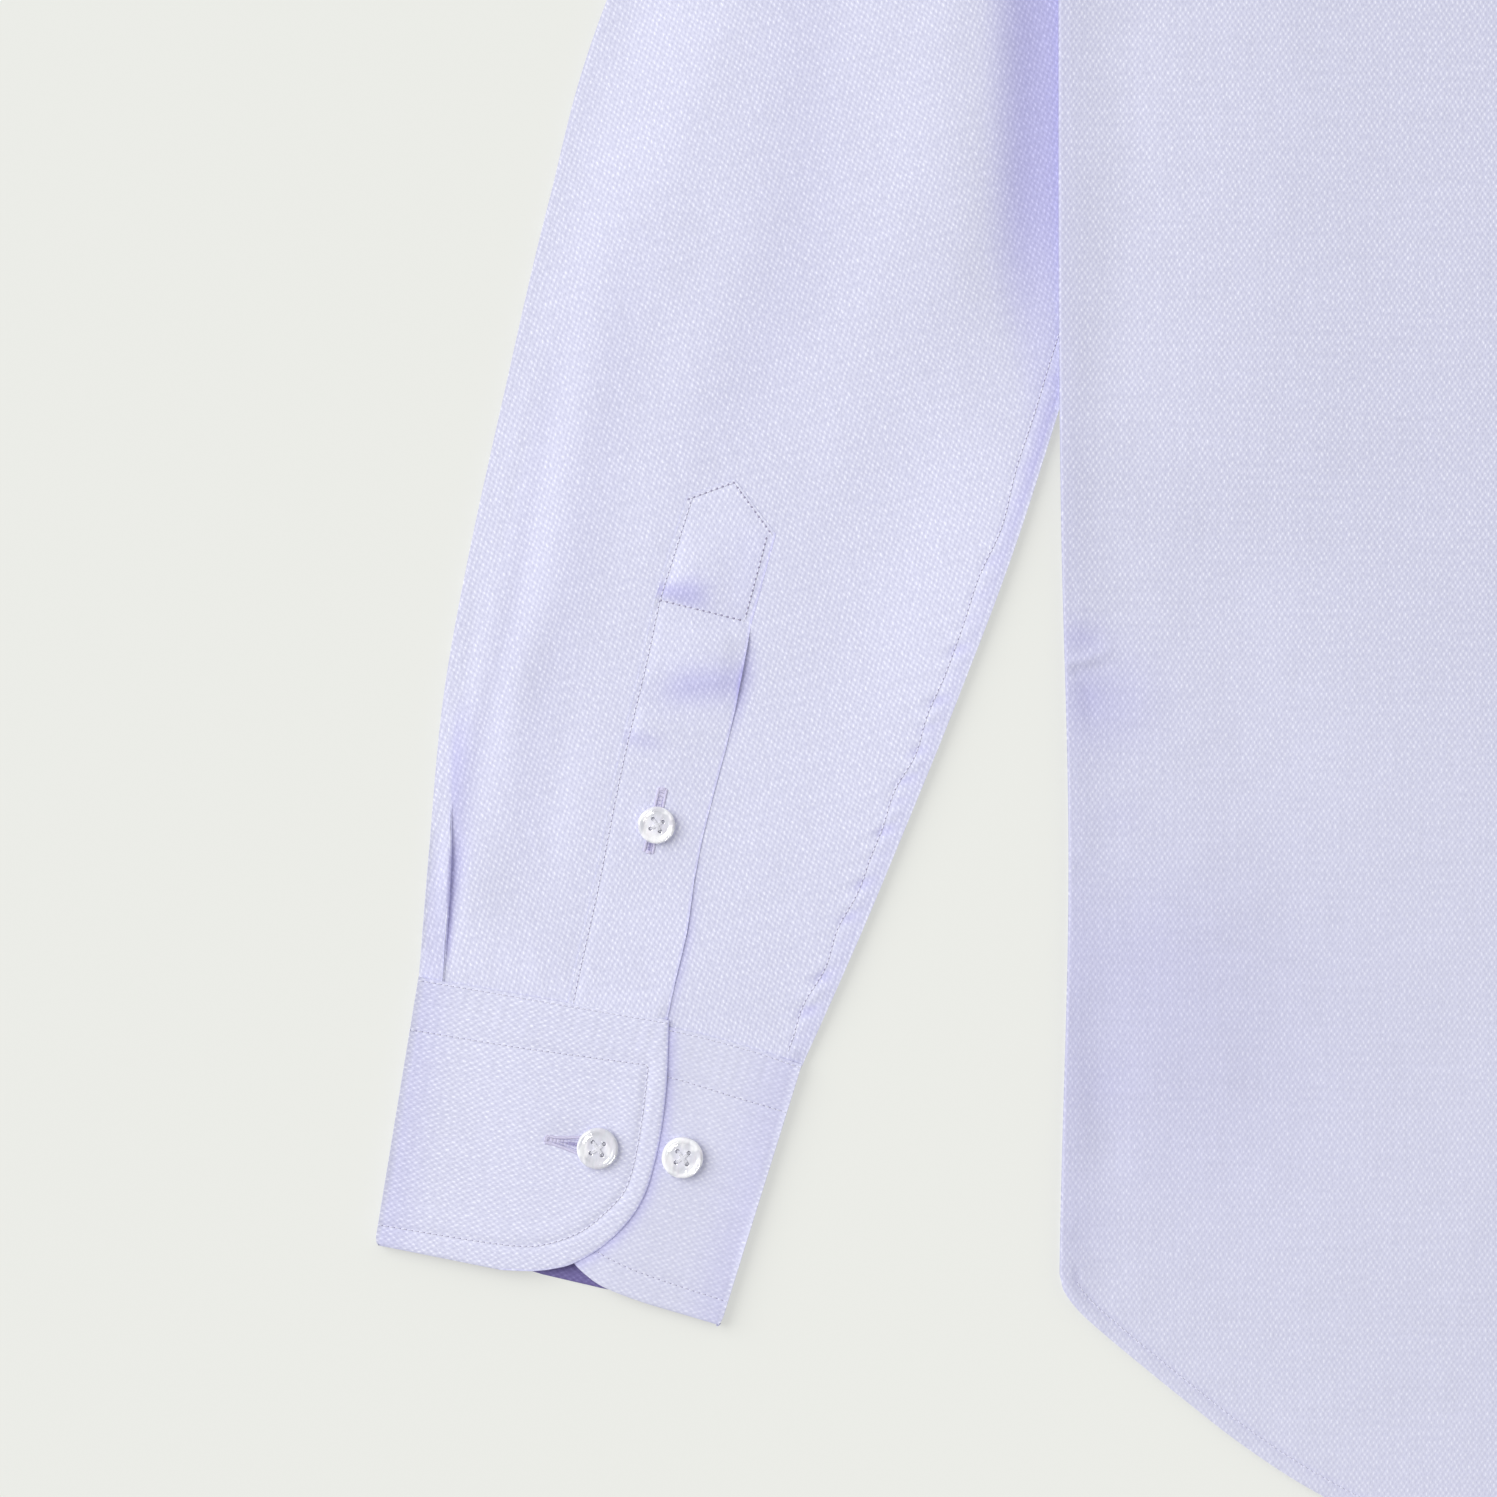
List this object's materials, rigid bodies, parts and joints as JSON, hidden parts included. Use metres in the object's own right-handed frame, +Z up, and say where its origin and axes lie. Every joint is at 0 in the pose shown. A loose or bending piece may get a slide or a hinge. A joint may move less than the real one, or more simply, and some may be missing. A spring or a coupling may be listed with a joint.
{
  "type": "long sleeve dress shirt laid flat",
  "caption": "Long sleeve dress shirt laid flat and face down, with a yoke, folded collar, buttoned sleeve plackets and barrel cuffs.",
  "frame": {"origin": "on the surface the shirt lies on, under the middle of its outline", "axes": "+X across the shirt from its left sleeve to its right sleeve, +Y from the hem to the collar, +Z up from the surface; the back of the shirt faces up"},
  "size_m": [0.9028, 0.803, 0.0088],
  "materials": {
    "cloth": "soft matt royal oxford cotton, pale lavender with a fine staggered dot weave",
    "button": "glossy pearly white with a raised rim and a dished middle"
  },
  "bodies": {
    "root": {"back": "cloth", "yoke": "cloth", "front_left": "cloth", "front_right": "cloth", "front_placket": "cloth", "collar_stand": "cloth", "collar_leaf": "cloth", "sleeve_left": "cloth", "sleeve_right": "cloth", "sleeve_placket_left": "cloth", "sleeve_placket_right": "cloth", "sleeve_underlap_left": "cloth", "sleeve_underlap_right": "cloth", "cuff_left": "cloth", "cuff_right": "cloth", "cuff_button_left_1": "button", "cuff_button_left_2": "button", "cuff_button_right_1": "button", "cuff_button_right_2": "button", "placket_button_left": "button", "placket_button_right": "button", "front_button_1": "button", "front_button_2": "button", "front_button_3": "button", "front_button_4": "button", "front_button_5": "button", "front_button_6": "button", "collar_button": "button"}
  },
  "joints": []
}
